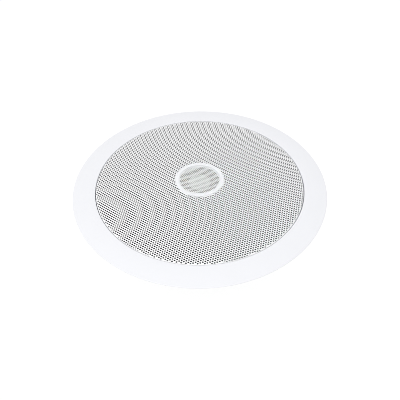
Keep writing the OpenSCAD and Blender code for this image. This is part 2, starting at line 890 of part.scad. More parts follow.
module coil_former() {
    color("#d8b37a")
        tube(former_r, former_r - former_t, coil_z - coil_h / 2, neck_z + 1.5);
}

module voice_coil() {
    color("#b8693a") tube(coil_r, former_r, coil_z - coil_h / 2, coil_z + coil_h / 2);
}

module top_plate() {
    color("silver") tube(plate_d / 2, plate_hole_r, plate_bottom, foot_z);
}

module ferrite_ring() {
    r = ferrite_d / 2;
    c = 0.8;
    color("#3d3e42")
        rotate_extrude()
            polygon([
                [ferrite_hole_d / 2, ferrite_bottom], [r - c, ferrite_bottom],
                [r, ferrite_bottom + c], [r, plate_bottom - c], [r - c, plate_bottom],
                [ferrite_hole_d / 2, plate_bottom]
            ]);
}

module yoke() {
    r = plate_d / 2;
    c = 1;
    color("silver")
        rotate_extrude()
            polygon([
                [vent_d / 2, yoke_bottom], [r - c, yoke_bottom], [r, yoke_bottom + c],
                [r, ferrite_bottom], [pole_r, ferrite_bottom], [pole_r, foot_z],
                [vent_d / 2, foot_z]
            ]);
}

module woofer_screws() {
    color("silver")
        for (k = [0:3])
            polar(45 + 90 * k, woofer_screw_r)
                translate([0, 0, rim_top]) small_screw(basket_t + baffle_t + 2);
}

module tag_strip() {
    color("#8a6b3c")
        difference() {
            block([-tag_x - 2, tag_y, tag_z], [tag_x + 2, tag_y + tag_t, tag_z + tag_h]);
            for (x = [-tag_x, tag_x])
                translate([x, tag_y - 1, tag_z + tag_h / 2]) along_y() cylinder(d = 1, h = tag_t + 2);
        }
    color("gold") translate([0, tag_y - 0.2, tag_z + tag_h / 2]) along_y() cylinder(d = 3, h = tag_t + 1);
}

module tinsel_leads() {
    color("#b87333") lead_pair(tinsel_route, tinsel_d);
}

// Screw of clamp k, held by its head in the ledge
module clamp_screw(k) {
    color("silver")
        polar(clamp_angle + 90 * (k - 1), clamp_r) {
            rod(clamp_screw_r, clamp_foot_z - collar_h, head_seat + bite);
            rod(collar_r, clamp_foot_z - collar_h - 0.1, clamp_foot_z - 0.1);
            difference() {
                rod(clamp_head_d / 2, head_seat, head_seat + clamp_head_h);
                for (a = [0, 90])
                    rotate([0, 0, a])
                        block([-2.4, -0.5, head_seat + clamp_head_h - 1.3],
                              [2.4, 0.5, head_seat + clamp_head_h + 1]);
            }
        }
}

// Clamp k, folded along the barrel at the foot of its screw
module clamp(k) {
    color("#1d1e20")
        polar(clamp_angle + 90 * (k - 1), clamp_r)
            difference() {
                union() {
                    rod(clamp_w / 2, clamp_foot_z, clamp_top_z);
                    block([-clamp_w / 2, 0, clamp_foot_z], [clamp_w / 2, clamp_l, clamp_top_z]);
                    for (v = [clamp_l - 8, clamp_l - 4.5, clamp_l - 1])
                        block([-clamp_w / 2, v - 1, clamp_top_z - bite],
                              [clamp_w / 2, v + 1, clamp_top_z + grip_h]);
                }
                rod(clamp_screw_r + fit_gap, clamp_foot_z - 1, clamp_top_z + grip_h + 1);
                block([-clamp_w / 2 + 2, clamp_w / 2 + 2.5, clamp_foot_z - 1],
                      [clamp_w / 2 - 2, clamp_l - 2, clamp_foot_z + clamp_h - 2.5]);
            }
}

module crossover_bracket() {
    foot = baffle_bottom - bracket_t;
    color("silver")
        difference() {
            union() {
                block([-bracket_foot_w / 2, bracket_y, foot],
                      [bracket_foot_w / 2, bracket_y + bracket_foot_l, baffle_bottom]);
                block([-bracket_foot_w / 2, bracket_y, board_top + bracket_border],
                      [bracket_foot_w / 2, bracket_y + bracket_t, foot + bite]);
                block([-bracket_w / 2, bracket_y, board_bottom],
                      [bracket_w / 2, bracket_y + bracket_t, board_top + bracket_border]);
            }
            for (x = [-bracket_screw_x, bracket_screw_x])
                translate([x, bracket_screw_y, 0])
                    rod(screw_d / 2 + screw_gap, foot - 1, baffle_bottom + 1);
            board_corners(bracket_y - 1)
                along_y() cylinder(d = screw_d + 2 * screw_gap, h = bracket_t + 2);
            translate([0, bracket_y - 1, board_mid])
                along_y() cylinder(d = bracket_hole_d, h = bracket_t + 2);
        }
}

// Children at the four corners of the circuit board, at depth y
module board_corners(y) {
    for (x = [-board_screw_x, board_screw_x], z = [-board_screw_dz, board_screw_dz])
        translate([x, y, board_mid + z]) children();
}

module bracket_screws() {
    color("silver")
        for (x = [-bracket_screw_x, bracket_screw_x])
            translate([x, bracket_screw_y, baffle_bottom - bracket_t])
                rotate([180, 0, 0]) small_screw(bracket_t + baffle_t - 0.8);
}

module circuit_board() {
    color("#2f6b3c")
        difference() {
            block([-board_w / 2, board_y, board_bottom], [board_w / 2, board_face, board_top]);
            board_corners(board_y - 1)
                along_y() cylinder(d = screw_d + 2 * screw_gap, h = board_t + 2);
        }
}

module board_spacers() {
    color("white")
        board_corners(board_y - spacer_h)
            along_y()
                difference() {
                    cylinder(d = screw_d + 3, h = spacer_h);
                    translate([0, 0, -1]) cylinder(d = screw_d + 2 * screw_gap, h = spacer_h + 2);
                }
}

module board_screws() {
    color("silver")
        board_corners(board_face)
            along_y() small_screw(board_t + spacer_h + bracket_t + 1);
}

module inductor_bobbin() {
    color("#1b1c1e")
        translate([inductor_x, board_face, inductor_z])
            along_y()
                difference() {
                    union() {
                        cylinder(d = inductor_d, h = 1.2);
                        cylinder(d = inductor_d / 2, h = inductor_h);
                        translate([0, 0, inductor_h - 1.2]) cylinder(d = inductor_d, h = 1.2);
                    }
                    translate([0, 0, -1]) cylinder(d = inductor_d / 3, h = inductor_h + 2);
                }
}

module inductor_winding() {
    color("#b5652b")
        translate([inductor_x, board_face + 1.2, inductor_z])
            along_y()
                difference() {
                    cylinder(d = inductor_d - 1.6, h = inductor_h - 2.4);
                    translate([0, 0, -1]) cylinder(d = inductor_d / 2, h = inductor_h);
                }
}

module capacitors() {
    color("#23314f")
        for (c = [[big_cap_d, big_cap_z], [small_cap_d, small_cap_z]])
            translate([cap_x, board_face + c[0] / 2, c[1]])
                rotate([0, 90, 0]) cylinder(d = c[0], h = cap_l);
}

module resistor() {
    color("ivory")
        block([resistor_x, board_face, block_bottom],
              [resistor_x + resistor_w, board_face + resistor_d, block_bottom + resistor_h]);
}

module terminal_block() {
    color("#1e1f21")
        difference() {
            block([-block_w / 2, board_face, block_bottom], [block_w / 2, block_front, block_top]);
            for (x = [-lever_x, lever_x]) {
                half = lever_w / 2 + lever_gap;
                block([x - half, slot_back, slot_bottom], [x + half, block_front + 1, slot_top]);
                translate([x - half - trunnion_l - 0.1, pivot_y, pivot_z])
                    rotate([0, 90, 0])
                        cylinder(r = trunnion_r + screw_gap, h = 2 * (half + trunnion_l + 0.1));
                translate([x, slot_back + 2.6, 0]) rod(1.8, block_bottom - 1, slot_bottom + 1);
            }
        }
}

module contact_springs() {
    color("gold")
        for (x = [-lever_x, lever_x]) {
            block([x - 3, slot_back, slot_bottom], [x + 3, slot_back + spring_t, slot_top]);
            block([x - 3, slot_back + spring_t, slot_top - spring_t], [x + 3, slot_back + 4, slot_top]);
        }
}

// Terminal lever at side x, resting with its lower end out
module lever(x) {
    half = lever_w / 2;
    translate([x, pivot_y, pivot_z])
        rotate([lever_rest_angle, 0, 0])
            union() {
                translate([-half - lever_gap - trunnion_l, 0, 0])
                    rotate([0, 90, 0])
                        cylinder(r = trunnion_r, h = 2 * (half + lever_gap + trunnion_l));
                translate([-half, 0, 0]) rotate([0, 90, 0]) cylinder(r = lever_boss_r, h = lever_w);
                block([-half, -lever_t / 2, -lever_l], [half, lever_t / 2, 0]);
                block([-half, lever_t / 2 - bite, -lever_l], [half, lever_t / 2 + 1, -lever_l + 1.4]);
            }
}

module lever_red() {
    color("#b3262a") lever(lever_x);
}

module lever_black() {
    color("#141517") lever(-lever_x);
}

module tweeter_leads() {
    color("#a33") lead_pair(tweeter_route, lead_d);
}

module woofer_leads() {
    color("#333") lead_pair(woofer_route, lead_d);
}

mounting_frame();
frame_barrel();
woofer_well();
frame_ribs();
grille();
grille_cloth();
centre_ring();
tweeter_mesh();
ring_retainer();
tweeter_bridge();
bridge_screws();
tweeter_face();
tweeter_dome();
tweeter_coil();
tweeter_cup();
tweeter_magnet();
tweeter_pole_disc();
woofer_basket();
basket_rim();
woofer_gasket();
woofer_surround();
woofer_cone();
dust_cap();
woofer_spider();
coil_former();
voice_coil();
top_plate();
ferrite_ring();
yoke();
woofer_screws();
tag_strip();
tinsel_leads();
clamp_screw(1);  // clamp_screw_1
clamp_screw(2);  // clamp_screw_2
clamp_screw(3);  // clamp_screw_3
clamp_screw(4);  // clamp_screw_4
clamp(1);  // clamp_1
clamp(2);  // clamp_2
clamp(3);  // clamp_3
clamp(4);  // clamp_4
crossover_bracket();
bracket_screws();
circuit_board();
board_spacers();
board_screws();
inductor_bobbin();
inductor_winding();
capacitors();
resistor();
terminal_block();
contact_springs();
lever_red();
lever_black();
tweeter_leads();
woofer_leads();
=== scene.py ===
"""Looks of a white in-ceiling speaker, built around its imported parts."""

import json
import math

import bmesh
import bpy
from mathutils import Matrix, Vector


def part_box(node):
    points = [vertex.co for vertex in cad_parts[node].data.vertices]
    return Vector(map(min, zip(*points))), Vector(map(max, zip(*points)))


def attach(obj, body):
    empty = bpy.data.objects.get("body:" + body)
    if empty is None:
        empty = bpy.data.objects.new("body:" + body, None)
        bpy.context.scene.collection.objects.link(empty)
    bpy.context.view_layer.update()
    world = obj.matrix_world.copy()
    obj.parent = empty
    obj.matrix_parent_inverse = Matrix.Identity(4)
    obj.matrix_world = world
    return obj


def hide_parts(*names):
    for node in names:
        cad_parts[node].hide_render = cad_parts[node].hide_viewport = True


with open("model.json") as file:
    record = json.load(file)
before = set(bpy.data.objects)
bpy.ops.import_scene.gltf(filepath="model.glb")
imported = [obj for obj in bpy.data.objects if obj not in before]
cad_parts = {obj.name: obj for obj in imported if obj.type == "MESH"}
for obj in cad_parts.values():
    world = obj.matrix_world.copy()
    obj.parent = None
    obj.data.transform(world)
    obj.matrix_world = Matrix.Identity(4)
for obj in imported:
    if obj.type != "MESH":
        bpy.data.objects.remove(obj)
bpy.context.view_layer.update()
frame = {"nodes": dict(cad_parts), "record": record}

MM = 0.001
ALL_ROUND = 2 * math.pi


# Sizes read from the parts

grille_low, grille_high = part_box("grille")
ring_low, ring_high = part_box("centre_ring")
mesh_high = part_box("tweeter_mesh")[1]

flange_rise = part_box("mounting_frame")[1].z
groove_z = grille_low.z
ring_r = ring_high.x
floor_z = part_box("yoke")[0].z


# Sizes of the grille's sheet

edge_gap = 0.25 * MM    # the photo shows a darker gap round the grille
grille_r = grille_high.x - edge_gap
grille_proud = 0.4 * MM
dome_rise = 8.25 * MM
edge_roll = 1.35 * MM
sheet_t = 0.6 * MM
hole_pitch = 2.33 * MM
hole_r = 0.905 * MM
hole_rows_angle = math.radians(18.84)
first_hole_r = 22.6 * MM
outer_hole_r = 97.6 * MM
hole_margin = 0.1 * MM
hole_sides = 8
rolled_from = math.radians(28)
rim_steps = 256
under_ring = 0.8 * MM
under_ring_steps = 96

grille_edge_z = flange_rise + grille_proud
dome_edge_r = grille_r - edge_roll
dome_r = (dome_edge_r ** 2 + dome_rise ** 2) / (2 * dome_rise)
dome_centre_z = grille_edge_z + dome_rise - dome_r
roll_z = dome_centre_z + math.sqrt((dome_r - edge_roll) ** 2 - dome_edge_r ** 2)


# Sizes of the tweeter's mesh

mesh_pitch = 1.98 * MM
mesh_hole_r = 0.79 * MM
mesh_turn = math.radians(50.75)
mesh_crown = 0.5 * MM
mesh_t = 0.3 * MM
mesh_border = 0.3 * MM
mesh_rim_steps = 96


# Sizes that several parts share

weld = 0.001 * MM
seam = 0.02 * MM            # how far apart borders that are joined may lie
wire_r = 0.3 * MM           # wires of the capacitors and the resistor
coil_wire_r = 0.4 * MM      # the inductor's wire
into_board = 0.4 * MM       # how deep these stand in the board
lead_r = 0.7 * MM           # insulated leads
tinsel_r = 0.4 * MM


# Shader maths

class Value:
    """A shader socket that takes part in Python sums."""

    def __init__(self, tree, socket):
        self.tree = tree
        self.socket = socket

    def combine(self, operation, first, second=None, clamp=False):
        node = self.tree.nodes.new("ShaderNodeMath")
        node.operation = operation
        node.use_clamp = clamp
        for place, term in enumerate((first, second)):
            if isinstance(term, Value):
                self.tree.links.new(term.socket, node.inputs[place])
            elif term is not None:
                node.inputs[place].default_value = term
        return Value(self.tree, node.outputs[0])

    def __add__(self, other):
        return self.combine("ADD", self, other)

    def __radd__(self, other):
        return self.combine("ADD", other, self)

    def __sub__(self, other):
        return self.combine("SUBTRACT", self, other)

    def __rsub__(self, other):
        return self.combine("SUBTRACT", other, self)

    def __mul__(self, other):
        return self.combine("MULTIPLY", self, other)

    def __rmul__(self, other):
        return self.combine("MULTIPLY", other, self)

    def __pow__(self, other):
        return self.combine("POWER", self, other)

    def above(self, limit):
        return self.combine("GREATER_THAN", self, limit)

    def larger(self, other):
        return self.combine("MAXIMUM", self, other)

    def sine(self):
        return self.combine("SINE", self)

    def clamped(self):
        return self.combine("ADD", self, 0.0, clamp=True)


MIX_BELOW, MIX_ABOVE, MIX_RESULT = 6, 7, 2      # a Mix node's sockets for colours


class Graph:
    """The nodes of a material or of the world."""

    def __init__(self, owner):
        owner.use_nodes = True
        self.tree = owner.node_tree

    def feed(self, node, socket, value):
        """Gives a node's socket a number, a colour or a link."""
        if isinstance(value, Value):
            self.tree.links.new(value.socket, node.inputs[socket])
        else:
            node.inputs[socket].default_value = value

    def node(self, kind, settings, inputs, output=0):
        """A new node: its settings are set first, then its sockets."""
        made = self.tree.nodes.new(kind)
        for key, value in settings.items():
            setattr(made, key, value)
        for key, value in inputs.items():
            self.feed(made, key, value)
        return Value(self.tree, made.outputs[output])

    def mixed(self, share, plain, other, end):
        """Sends two shaders, mixed by a share, to the node at the graph's end."""
        mix = self.node("ShaderNodeMixShader", {}, {0: share, 1: plain, 2: other})
        self.feed(self.tree.nodes[end], "Surface", mix)


class Finish(Graph):
    """A material whose principled shader is fed by named nodes."""

    def __init__(self, name, colour, roughness, metallic=0.0, **fixed):
        self.material = bpy.data.materials.new(name)
        super().__init__(self.material)
        self.shader = self.tree.nodes["Principled BSDF"]
        self.colour = colour
        self.set("Base Color", (*colour, 1))
        self.set("Roughness", roughness)
        self.set("Metallic", metallic)
        for socket, value in fixed.items():
            self.set(socket.replace("_", " "), value)
        self.place = self.node("ShaderNodeTexCoord", {}, {}, "Object")

    def set(self, socket, value):
        self.feed(self.shader, socket, value)

    def noise(self, size, detail=3.0, stretch=(1, 1, 1)):
        """Soft noise from 0 to 1 whose blobs are about size metres wide."""
        scale = tuple(s / size for s in stretch)
        place = self.node("ShaderNodeMapping", {}, {"Vector": self.place, "Scale": scale})
        return self.node("ShaderNodeTexNoise", {}, {"Vector": place, "Scale": 1.0, "Detail": detail})

    def along(self, axis):
        """The place along an axis, in metres."""
        return self.node("ShaderNodeSeparateXYZ", {}, {"Vector": self.place}, axis)

    def tint(self, mask, colour, base=None):
        """The base colour with another mixed in where the mask is 1."""
        below = base if base else (*self.colour, 1)
        return self.node(
            "ShaderNodeMix", {"data_type": "RGBA"},
            {"Factor": mask, MIX_BELOW: below, MIX_ABOVE: (*colour, 1)}, MIX_RESULT)

    def bump(self, height, depth):
        """Lets a height from 0 to 1 raise the surface by up to depth metres."""
        self.set("Normal", self.node(
            "ShaderNodeBump", {}, {"Height": height, "Distance": depth, "Strength": 1.0}))


def shade(colour, factor):
    return tuple(min(1.0, c * factor) for c in colour)


def moulded(name, colour, roughness=0.45, grain=0.35 * MM, depth=0.012 * MM):
    """Moulded plastic with a fine spark-eroded grain and faint flow marks."""
    finish = Finish(name, colour, roughness)
    grain_noise = finish.noise(grain, 2.0)
    flow = finish.noise(22 * MM, 2.0)
    finish.set("Base Color", finish.tint((flow * 0.6).clamped(), shade(colour, 0.955)))
    finish.set("Roughness", roughness - 0.04 + 0.08 * grain_noise + 0.05 * flow)
    finish.bump(grain_noise, depth)
    return finish


def powder_coat(name, colour, roughness=0.5, peel=0.55 * MM, depth=0.01 * MM):
    """Baked paint on steel: soft orange peel, a little unevenness in the white."""
    finish = Finish(name, colour, roughness)
    orange_peel = finish.noise(peel, 1.5)
    cloud = finish.noise(35 * MM, 2.0)
    finish.set("Base Color", finish.tint((cloud * 0.5).clamped(), shade(colour, 0.96)))
    finish.set("Roughness", roughness - 0.05 + 0.1 * orange_peel)
    finish.bump(orange_peel, depth)
    return finish


def zinc_plate(name, colour=(0.62, 0.635, 0.65), roughness=0.32):
    """Zinc-plated steel with fine drawn lines and cloudy passivation."""
    finish = Finish(name, colour, roughness, 1.0)
    drawn = finish.noise(0.25 * MM, 2.0, (1, 1, 0.06))
    cloud = finish.noise(6 * MM, 3.0)
    finish.set("Base Color", finish.tint(cloud * 0.7, (0.47, 0.48, 0.46)))
    finish.set("Roughness", roughness - 0.08 + 0.14 * cloud + 0.08 * drawn)
    finish.bump(drawn, 0.004 * MM)
    return finish


def turned_steel(name):
    """Plated motor plates with the rings that the lathe left."""
    finish = Finish(name, (0.6, 0.61, 0.62), 0.34, 1.0)
    x, y = finish.along("X"), finish.along("Y")
    radius = (x * x + y * y) ** 0.5
    rings = (radius * (ALL_ROUND / (0.35 * MM))).sine() * 0.5 + 0.5
    cloud = finish.noise(8 * MM, 3.0)
    finish.set("Base Color", finish.tint(cloud * 0.6, (0.46, 0.465, 0.46)))
    finish.set("Roughness", 0.27 + 0.12 * cloud + 0.06 * rings)
    finish.bump(rings, 0.004 * MM)
    return finish


def ferrite_stone(name):
    """Ground ferrite: dark grey, dry, with small pits."""
    finish = Finish(name, (0.045, 0.046, 0.05), 0.72)
    pits = finish.noise(0.5 * MM, 4.0)
    cloud = finish.noise(9 * MM, 3.0)
    finish.set("Base Color", finish.tint(cloud, (0.085, 0.085, 0.09)))
    finish.set("Roughness", 0.62 + 0.2 * pits)
    finish.bump(pits, 0.03 * MM)
    return finish


def cloth(name, colour, pitch=0.6 * MM, roughness=0.8):
    """Dipped cloth: a plain weave of threads, stiff with resin."""
    finish = Finish(name, colour, roughness)
    turns = ALL_ROUND / pitch
    warp = (finish.along("X") * turns).sine()
    weft = (finish.along("Y") * turns).sine()
    weave = warp * weft * 0.5 + 0.5
    blotch = finish.noise(5 * MM, 3.0)
    finish.set("Base Color", finish.tint(
        weave * 0.55, shade(colour, 0.5), finish.tint(blotch * 0.5, shade(colour, 0.75))))
    finish.set("Roughness", roughness - 0.1 + 0.15 * weave)
    finish.bump(weave, 0.06 * MM)
    return finish


def winding_wire(name, axis, pitch=0.5 * MM):
    """Enamelled copper wire, turn beside turn, with painted shade in the grooves between the turns.
    """
    finish = Finish(name, (0.66, 0.27, 0.13), 0.28, 0.9, Coat_Weight=0.5)
    turn = (finish.along(axis) * (ALL_ROUND / pitch)).sine() * 0.5 + 0.5
    cloud = finish.noise(3 * MM, 2.0)
    # painted shade: the colour darkens to dark brown in the grooves between the turns
    finish.set("Base Color", finish.tint(
        (1 - turn) * 0.6, (0.2, 0.07, 0.03), finish.tint(cloud * 0.4, (0.5, 0.19, 0.09))))
    finish.bump(turn, 0.12 * MM)
    return finish


def circuit_board_green(name):
    """Solder mask over copper areas, with narrow gaps between them."""
    finish = Finish(name, (0.018, 0.11, 0.045), 0.35)
    cells_a_metre = (170, 170, 130)
    cells = finish.node(
        "ShaderNodeMapping", {}, {"Vector": finish.place, "Scale": cells_a_metre})
    tracks = finish.node(
        "ShaderNodeTexVoronoi", {"feature": "DISTANCE_TO_EDGE"},
        {"Vector": cells, "Scale": 1.0}, "Distance")
    gap = 0.09
    copper = 1 - tracks.above(gap)
    finish.set("Base Color", finish.tint(copper, (0.035, 0.2, 0.07)))
    finish.set("Roughness", 0.3 + 0.12 * finish.noise(1.5 * MM))
    finish.bump(copper, 0.03 * MM)
    return finish


def sleeve(name, colour):
    """Shrunk sleeve, glossy and a little wrinkled."""
    finish = Finish(name, colour, 0.25, Coat_Weight=0.4)
    wrinkle = finish.noise(2.2 * MM, 2.0, (0.4, 1, 1))
    finish.set("Base Color", finish.tint(wrinkle * 0.5, shade(colour, 0.6)))
    finish.set("Roughness", 0.2 + 0.15 * wrinkle)
    finish.bump(wrinkle, 0.05 * MM)
    return finish


def cement(name):
    """Cement resistor body: off-white, dry and porous."""
    finish = Finish(name, (0.66, 0.63, 0.56), 0.85)
    pores = finish.noise(0.45 * MM, 4.0)
    cloud = finish.noise(4 * MM, 2.0)
    finish.set("Base Color", finish.tint(cloud * 0.6, (0.5, 0.48, 0.42)))
    finish.bump(pores, 0.06 * MM)
    return finish


def rubber(name, colour, roughness=0.6):
    """Matt rubber with a faint bloom."""
    finish = Finish(name, colour, roughness, Sheen_Weight=0.15)
    bloom = finish.noise(7 * MM, 3.0)
    skin = finish.noise(0.4 * MM, 2.0)
    finish.set("Base Color", finish.tint(bloom * 0.6, shade(colour, 2.1)))
    finish.set("Roughness", roughness - 0.06 + 0.12 * skin)
    finish.bump(skin, 0.012 * MM)
    return finish


def lead_jackets(name):
    """Insulated leads: red on the +X side and black on the other."""
    finish = Finish(name, (0.35, 0.012, 0.01), 0.42)
    black_side = 1 - finish.along("X").above(0.0)
    finish.set("Base Color", finish.tint(black_side, (0.012, 0.012, 0.013)))
    finish.set("Roughness", 0.36 + 0.12 * finish.noise(1.2 * MM))
    return finish


WHITE = (0.885, 0.892, 0.924)

flange_white = moulded("flange_white", WHITE, 0.5)
grille_white = powder_coat("grille_white", (0.985, 0.988, 0.995), 0.5)
ring_white = moulded("ring_white", (0.9, 0.907, 0.935), 0.38, 0.5 * MM, 0.005 * MM)
mesh_white = powder_coat("mesh_white", (0.97, 0.975, 0.985), 0.45, 0.4 * MM)
black_moulded = moulded("black_moulded", (0.02, 0.0205, 0.022), 0.5)
clamp_black = moulded("clamp_black", (0.022, 0.0225, 0.024), 0.42, 0.45 * MM, 0.02 * MM)
basket_paint = powder_coat("basket_paint", (0.028, 0.029, 0.032), 0.42, 0.5 * MM, 0.015 * MM)
zinc = zinc_plate("zinc")
motor_steel = turned_steel("motor_steel")
ferrite = ferrite_stone("ferrite")
gasket_foam = rubber("gasket_foam", (0.02, 0.02, 0.021), 0.8)
surround_rubber = rubber("surround_rubber", (0.018, 0.018, 0.019), 0.55)
cone_sheet = moulded("cone_sheet", (0.05, 0.051, 0.055), 0.48, 1.2 * MM, 0.04 * MM)
cap_sheet = moulded("cap_sheet", (0.035, 0.036, 0.04), 0.35, 1.0 * MM, 0.01 * MM)
spider_cloth = cloth("spider_cloth", (0.52, 0.33, 0.12))
former_paper = moulded("former_paper", (0.5, 0.34, 0.19), 0.6, 0.8 * MM, 0.02 * MM)
coil_wire = winding_wire("coil_wire", "Z", 0.3 * MM)
inductor_wire = winding_wire("inductor_wire", "Y", 0.8 * MM)
tinsel = winding_wire("tinsel", "Y", 0.4 * MM)
scrim_cloth = cloth("scrim_cloth", (0.02, 0.02, 0.021), 0.5 * MM, 0.9)
dome_foil = powder_coat("dome_foil", (0.6, 0.61, 0.62), 0.35, 0.8 * MM, 0.004 * MM)
tweeter_grey = moulded("tweeter_grey", (0.22, 0.222, 0.228), 0.5)
nickel = zinc_plate("nickel", (0.58, 0.57, 0.55), 0.25)
tag_board = moulded("tag_board", (0.22, 0.12, 0.045), 0.55, 0.6 * MM, 0.02 * MM)
board_green = circuit_board_green("board_green")
capacitor_sleeve = sleeve("capacitor_sleeve", (0.012, 0.028, 0.1))
resistor_cement = cement("resistor_cement")
contact_brass = zinc_plate("contact_brass", (0.72, 0.5, 0.2), 0.3)
lever_red = moulded("lever_red", (0.5, 0.012, 0.012), 0.3, 0.6 * MM, 0.006 * MM)
lever_black = moulded("lever_black", (0.015, 0.015, 0.016), 0.3, 0.6 * MM, 0.006 * MM)
nylon = moulded("nylon", (0.8, 0.79, 0.74), 0.45, 0.6 * MM, 0.01 * MM)
jackets = lead_jackets("jackets")

NODE_FINISHES = {
    "mounting_frame": flange_white,
    "frame_barrel": flange_white,
    "woofer_well": flange_white,
    "frame_ribs": flange_white,
    "grille_cloth": scrim_cloth,
    "centre_ring": ring_white,
    "tweeter_mesh": mesh_white,
    "ring_retainer": ring_white,
    "tweeter_bridge": black_moulded,
    "bridge_screws": zinc,
    "tweeter_face": tweeter_grey,
    "tweeter_dome": dome_foil,
    "tweeter_coil": coil_wire,
    "tweeter_cup": nickel,
    "tweeter_magnet": nickel,
    "tweeter_pole_disc": motor_steel,
    "woofer_basket": basket_paint,
    "basket_rim": basket_paint,
    "woofer_gasket": gasket_foam,
    "woofer_surround": surround_rubber,
    "woofer_cone": cone_sheet,
    "dust_cap": cap_sheet,
    "woofer_spider": spider_cloth,
    "coil_former": former_paper,
    "voice_coil": coil_wire,
    "top_plate": motor_steel,
    "ferrite_ring": ferrite,
    "yoke": motor_steel,
    "woofer_screws": zinc,
    "tag_strip": tag_board,
    "tinsel_leads": tinsel,
    "crossover_bracket": zinc,
    "bracket_screws": zinc,
    "circuit_board": board_green,
    "board_spacers": nylon,
    "board_screws": zinc,
    "inductor_bobbin": black_moulded,
    "inductor_winding": inductor_wire,
    "capacitors": capacitor_sleeve,
    "resistor": resistor_cement,
    "terminal_block": black_moulded,
    "contact_springs": contact_brass,
    "lever_red": lever_red,
    "lever_black": lever_black,
    "tweeter_leads": jackets,
    "woofer_leads": jackets,
}
CLAMPS = range(1, 5)
for number in CLAMPS:
    NODE_FINISHES[f"clamp_screw_{number}"] = zinc
    NODE_FINISHES[f"clamp_{number}"] = clamp_black


# Mesh helpers

BODY_OF = {
    node: body
    for body, members in frame["record"]["behaviour"]["bodies"].items()
    for node in members
}


def piece(name, bm, finish, stands_for, crease=35):
    """Makes a finished mesh into a piece that replaces CAD nodes and rides with them.

    Edges sharper than crease degrees stay sharp in the shading.
    """
    mesh = bpy.data.meshes.new(name)
    bm.to_mesh(mesh)
    bm.free()
    mesh.shade_smooth()
    mesh.set_sharp_from_angle(angle=math.radians(crease))
    made = new_object(name, mesh)
    mesh.materials.append(finish.material)
    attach(made, BODY_OF[stands_for[0]])
    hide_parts(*stands_for)
    return made


def new_object(name, data):
    made = bpy.data.objects.new(name, data)
    bpy.context.scene.collection.objects.link(made)
    return made


def verts_in(geom):
    return [element for element in geom if isinstance(element, bmesh.types.BMVert)]


def spun(bm, outline, steps=rim_steps, closed=True):
    """Turns an outline of (radius, height) points once round the Z axis."""
    verts = [bm.verts.new((r, 0, z)) for r, z in outline]
    edges = [bm.edges.new(pair) for pair in zip(verts, verts[1:])]
    if closed:
        edges.append(bm.edges.new((verts[-1], verts[0])))
    bmesh.ops.spin(
        bm, geom=verts + edges, cent=(0, 0, 0), axis=(0, 0, 1), angle=ALL_ROUND,
        steps=steps, use_merge=True, use_duplicate=False)
    bmesh.ops.remove_doubles(bm, verts=bm.verts, dist=weld / 2)


def arc(centre_r, centre_z, radius, start, end, steps):
    """Points on an arc of an outline, with angles in degrees."""
    points = []
    for step in range(steps + 1):
        angle = math.radians(start + (end - start) * step / steps)
        points.append((centre_r + radius * math.cos(angle), centre_z + radius * math.sin(angle)))
    return points


# Perforated sheets

def honeycomb(pitch, radius, reach):
    """A flat field of hexagonal cells, each round a hole, doubled up from one cell."""
    bm = bmesh.new()
    bmesh.ops.create_circle(bm, segments=6, radius=pitch / math.sqrt(3))
    bmesh.ops.create_circle(bm, segments=hole_sides, radius=radius)
    bmesh.ops.bridge_loops(bm, edges=bm.edges[:])
    row_gap = pitch * math.sqrt(3) / 2
    half = math.ceil(reach / pitch) + 1
    count = 1
    while count < 2 * half:
        double(bm, (pitch * count, 0, 0))
        count *= 2
    bmesh.ops.translate(bm, verts=bm.verts, vec=(-half * pitch, 0, 0))
    spare = [v for v in bm.verts if v.co.x > reach + pitch]
    bmesh.ops.delete(bm, geom=spare, context="VERTS")
    rows = 1
    while rows < 2 * math.ceil(reach / row_gap):
        double(bm, (pitch / 2 if rows == 1 else 0, row_gap * rows, 0))
        rows *= 2
    middle = 2 * round(reach / row_gap / 2)
    bmesh.ops.translate(bm, verts=bm.verts, vec=(0, -middle * row_gap, 0))
    return bm


def double(bm, step):
    copied = bmesh.ops.duplicate(bm, geom=bm.verts[:] + bm.edges[:] + bm.faces[:])
    bmesh.ops.translate(bm, verts=verts_in(copied["geom"]), vec=step)


def cell_radius(point, pitch):
    """How far the middle of the cell that a point of the field is in lies from the Z axis."""
    row_gap = pitch * math.sqrt(3) / 2
    best = None
    for row in (math.floor(point.y / row_gap), math.ceil(point.y / row_gap)):
        shift = pitch / 2 if row % 2 else 0
        x = round((point.x - shift) / pitch) * pitch + shift
        gap = (point.x - x) ** 2 + (point.y - row * row_gap) ** 2
        if best is None or gap < best[0]:
            best = (gap, math.hypot(x, row * row_gap))
    return best[1]


def cell_field(pitch, radius, turn, hole_limits, reach):
    """The cells whose holes' centres lie between two limits, turned round the Z axis."""
    bm = honeycomb(pitch, radius, reach)
    spare = []
    for face in bm.faces:
        r = cell_radius(face.calc_center_median(), pitch)
        if r < hole_limits[0] or r > hole_limits[1]:
            spare.append(face)
    bmesh.ops.delete(bm, geom=spare, context="FACES")
    bmesh.ops.remove_doubles(bm, verts=bm.verts, dist=0.02 * pitch)
    bmesh.ops.rotate(bm, verts=bm.verts, matrix=Matrix.Rotation(turn, 3, "Z"))
    return bm


def keep_between(bm, edges):
    """Draws in what reaches past the sheet's edges."""
    for vert in bm.verts:
        r = vert.co.length
        kept_r = min(r, edges[1] - hole_margin)
        if edges[0] > 0:
            kept_r = max(kept_r, edges[0] + hole_margin)
        if r != kept_r:
            vert.co *= kept_r / r


